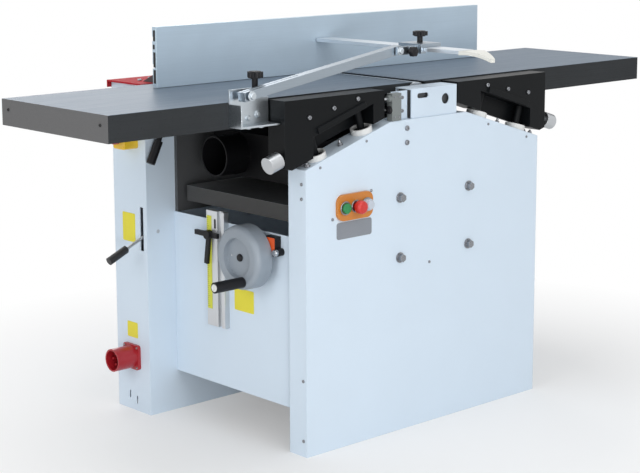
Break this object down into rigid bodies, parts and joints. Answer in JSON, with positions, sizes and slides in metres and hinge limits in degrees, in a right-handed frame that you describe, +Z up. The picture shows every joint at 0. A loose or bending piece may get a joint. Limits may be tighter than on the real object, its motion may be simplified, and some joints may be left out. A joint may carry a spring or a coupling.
{
  "type": "planer thicknesser",
  "caption": "Combination planer thicknesser with tilting planing tables, a fence, a bridge guard over the cutter and a lower thicknessing table raised by a handwheel.",
  "frame": {"origin": "on the floor, below the middle of the two planing tables", "axes": "+X along the tables towards the outfeed end, +Y to the rear cabinet, +Z up"},
  "size_m": [1.8, 0.861, 0.99],
  "materials": {
    "white_paint": "smooth satin powder coat",
    "red_paint": "satin paint",
    "cast_grey": "painted and machined casting",
    "steel": "turned, bright",
    "cup_plastic": "moulded, pale",
    "switch_grey": "moulded, grey",
    "amber_plastic": "moulded, amber",
    "green_plastic": "moulded, green",
    "red_plastic": "moulded, red",
    "lamp_white": "translucent white lens",
    "yellow_plastic": "moulded, yellow",
    "belt_rubber": "ribbed rubber",
    "black_paint": "satin black",
    "black_plastic": "fine grain",
    "rail_alu": "extruded, clear anodised",
    "zinc_plate": "bright zinc plated sheet",
    "wheel_plastic": "moulded, blue grey",
    "ground_iron": "ground working face",
    "anodised_alu": "anodised extrusion"
  },
  "bodies": {
    "frame": {"front_pedestal": "white_paint", "rear_cabinet": "white_paint", "rear_panel": "white_paint", "cabinet_lid": "red_paint", "left_cross_panel": "white_paint", "right_cross_panel": "white_paint", "lift_base": "cast_grey", "front_head_block": "cast_grey", "rear_head_block": "cast_grey", "cutter_bearings": "steel", "bearing_cover": "white_paint", "hinge_posts": "cast_grey", "hinge_pins": "steel", "rest_cups": "cup_plastic", "pedestal_bolts": "steel", "switch_bracket": "white_paint", "limit_switch": "switch_grey", "control_plate": "amber_plastic", "signal_lamp": "lamp_white", "estop_box": "yellow_plastic", "power_inlet": "red_plastic", "motor": "cast_grey", "drive_belt": "belt_rubber", "chip_hood": "black_paint", "scale_rail": "rail_alu", "wheel_bush": "cast_grey", "position_indicator": "black_plastic"},
    "infeed_lock": {"infeed_lock": "steel"},
    "outfeed_lock": {"outfeed_lock": "steel"},
    "infeed_clamp": {"infeed_clamp": "black_plastic"},
    "feed_lever": {"feed_lever": "black_plastic"},
    "table_clamp": {"table_clamp": "black_plastic"},
    "fence_carriage": {"fence_carriage": "rail_alu"},
    "guard_arm": {"guard_arm": "rail_alu"},
    "guard_holder": {"guard_holder": "rail_alu"},
    "guard_strip": {"guard_strip": "rail_alu"},
    "guard_knob": {"guard_knob": "black_plastic"},
    "strip_knob": {"strip_knob": "black_plastic"},
    "infeed_roller": {"infeed_roller": "steel"},
    "outfeed_roller": {"outfeed_roller": "steel"},
    "thickness_table": {"thickness_table": "cast_grey"},
    "lift_screw": {"lift_screw": "steel"},
    "wheel_grip": {"wheel_grip": "black_plastic"},
    "start_button": {"start_button": "green_plastic"},
    "stop_button": {"stop_button": "red_plastic"},
    "estop_button": {"estop_button": "red_plastic"},
    "switch_plunger": {"switch_plunger": "steel"},
    "infeed_table": {"infeed_table": "ground_iron", "infeed_bracket": "black_paint", "infeed_studs": "black_paint", "fence_guide": "cast_grey", "guard_bracket": "zinc_plate"},
    "outfeed_table": {"outfeed_table": "ground_iron", "outfeed_bracket": "black_paint", "outfeed_studs": "black_paint"},
    "fence": {"fence_plate": "anodised_alu"},
    "cutter": {"cutter_block": "steel"},
    "motor_rotor": {"motor_pulley": "steel"},
    "handwheel": {"handwheel": "wheel_plastic", "wheel_shaft": "steel"}
  },
  "joints": [
    {"name": "infeed_tilt", "type": "hinge", "parent": "frame", "child": "infeed_table", "pos_m": [0, 0.23, 0.855], "axis": [-1, 0, 0], "range_deg": [0, 88]},
    {"name": "outfeed_tilt", "type": "hinge", "parent": "frame", "child": "outfeed_table", "pos_m": [0, 0.23, 0.855], "axis": [-1, 0, 0], "range_deg": [0, 88]},
    {"name": "infeed_lock_turn", "type": "hinge", "parent": "infeed_table", "child": "infeed_lock", "pos_m": [-0.462, -0.248, 0.71135], "axis": [-0.9535, 0, -0.3015], "range_deg": [0, 90]},
    {"name": "outfeed_lock_turn", "type": "hinge", "parent": "outfeed_table", "child": "outfeed_lock", "pos_m": [0.434, -0.248, 0.7202], "axis": [0.9535, 0, -0.3015], "range_deg": [0, 90]},
    {"name": "infeed_clamp_turn", "type": "hinge", "parent": "frame", "child": "infeed_clamp", "pos_m": [-0.432, 0.228, 0.728], "axis": [0, 1, 0], "range_deg": [0, 60]},
    {"name": "feed_lever_turn", "type": "hinge", "parent": "frame", "child": "feed_lever", "pos_m": [-0.443, 0.264, 0.47], "axis": [0, 1, 0], "range_deg": [0, 40]},
    {"name": "table_clamp_turn", "type": "hinge", "parent": "frame", "child": "table_clamp", "pos_m": [-0.4143, 0.08, 0.482], "axis": [1, 0, 0], "range_deg": [-25, 25]},
    {"name": "fence_slide", "type": "slide", "parent": "infeed_table", "child": "fence_carriage", "axis": [0, -1, 0], "range_m": [-0.045, 0]},
    {"name": "fence_tilt", "type": "hinge", "parent": "fence_carriage", "child": "fence", "pos_m": [0, 0.142, 0.858], "axis": [-1, 0, 0], "range_deg": [0, 45]},
    {"name": "guard_lift", "type": "hinge", "parent": "infeed_table", "child": "guard_arm", "pos_m": [-0.545, -0.231, 0.85962], "axis": [0, -1, 0], "range_deg": [-8.2, 12]},
    {"name": "guard_level", "type": "hinge", "parent": "guard_arm", "child": "guard_holder", "pos_m": [-0.08832, -0.231, 0.9295], "axis": [0, -1, 0], "range_deg": [-12.5, 8.7]},
    {"name": "guard_slide", "type": "slide", "parent": "guard_holder", "child": "guard_strip", "axis": [0, -1, 0], "range_m": [0, 0.25]},
    {"name": "guard_knob_turn", "type": "hinge", "parent": "infeed_table", "child": "guard_knob", "pos_m": [-0.485, -0.187, 0.87], "axis": [0, 0, 1], "continuous": true},
    {"name": "strip_knob_turn", "type": "hinge", "parent": "guard_holder", "child": "strip_knob", "pos_m": [0.00368, -0.227, 0.95], "axis": [0, 0, 1], "continuous": true},
    {"name": "cutter_spin", "type": "hinge", "parent": "frame", "child": "cutter", "pos_m": [0.02, 0, 0.803], "axis": [0, 1, 0], "continuous": true},
    {"name": "motor_spin", "type": "hinge", "parent": "frame", "child": "motor_rotor", "pos_m": [0.02, 0.266, 0.33], "axis": [0, 1, 0], "continuous": true},
    {"name": "infeed_roller_spin", "type": "hinge", "parent": "frame", "child": "infeed_roller", "pos_m": [-0.042, 0, 0.778], "axis": [0, 1, 0], "continuous": true},
    {"name": "outfeed_roller_spin", "type": "hinge", "parent": "frame", "child": "outfeed_roller", "pos_m": [0.082, 0, 0.778], "axis": [0, 1, 0], "continuous": true},
    {"name": "thickness_lift", "type": "slide", "parent": "frame", "child": "thickness_table", "axis": [0, 0, 1], "range_m": [-0.03, 0.024]},
    {"name": "screw_turn", "type": "hinge", "parent": "frame", "child": "lift_screw", "pos_m": [-0.15, -0.08, 0.35], "axis": [0, 0, 1], "range_deg": [-2200, 1800]},
    {"name": "wheel_turn", "type": "hinge", "parent": "frame", "child": "handwheel", "pos_m": [-0.43, -0.08, 0.455], "axis": [1, 0, 0], "range_deg": [-1800, 2200]},
    {"name": "grip_turn", "type": "hinge", "parent": "handwheel", "child": "wheel_grip", "pos_m": [-0.5, -0.10173, 0.40122], "axis": [1, 0, 0], "continuous": true},
    {"name": "start_press", "type": "slide", "parent": "frame", "child": "start_button", "axis": [0, 1, 0], "range_m": [0, 0.003], "stiffness_N_per_m": 400},
    {"name": "stop_press", "type": "slide", "parent": "frame", "child": "stop_button", "axis": [0, 1, 0], "range_m": [0, 0.003], "stiffness_N_per_m": 400},
    {"name": "estop_press", "type": "slide", "parent": "frame", "child": "estop_button", "axis": [1, 0, 0], "range_m": [0, 0.003], "stiffness_N_per_m": 400},
    {"name": "switch_press", "type": "slide", "parent": "frame", "child": "switch_plunger", "axis": [1, 0, 0], "range_m": [0, 0.005], "stiffness_N_per_m": 400}
  ],
  "couplings": [
    {"joint": "outfeed_tilt", "follows": "infeed_tilt", "ratio": 1},
    {"joint": "guard_level", "follows": "guard_lift", "ratio": -1},
    {"joint": "motor_spin", "follows": "cutter_spin", "ratio": 0.5},
    {"joint": "outfeed_roller_spin", "follows": "infeed_roller_spin", "ratio": 1},
    {"joint": "screw_turn", "follows": "thickness_lift", "rad_per_m": 1256.6},
    {"joint": "wheel_turn", "follows": "thickness_lift", "rad_per_m": -1256.6}
  ]
}
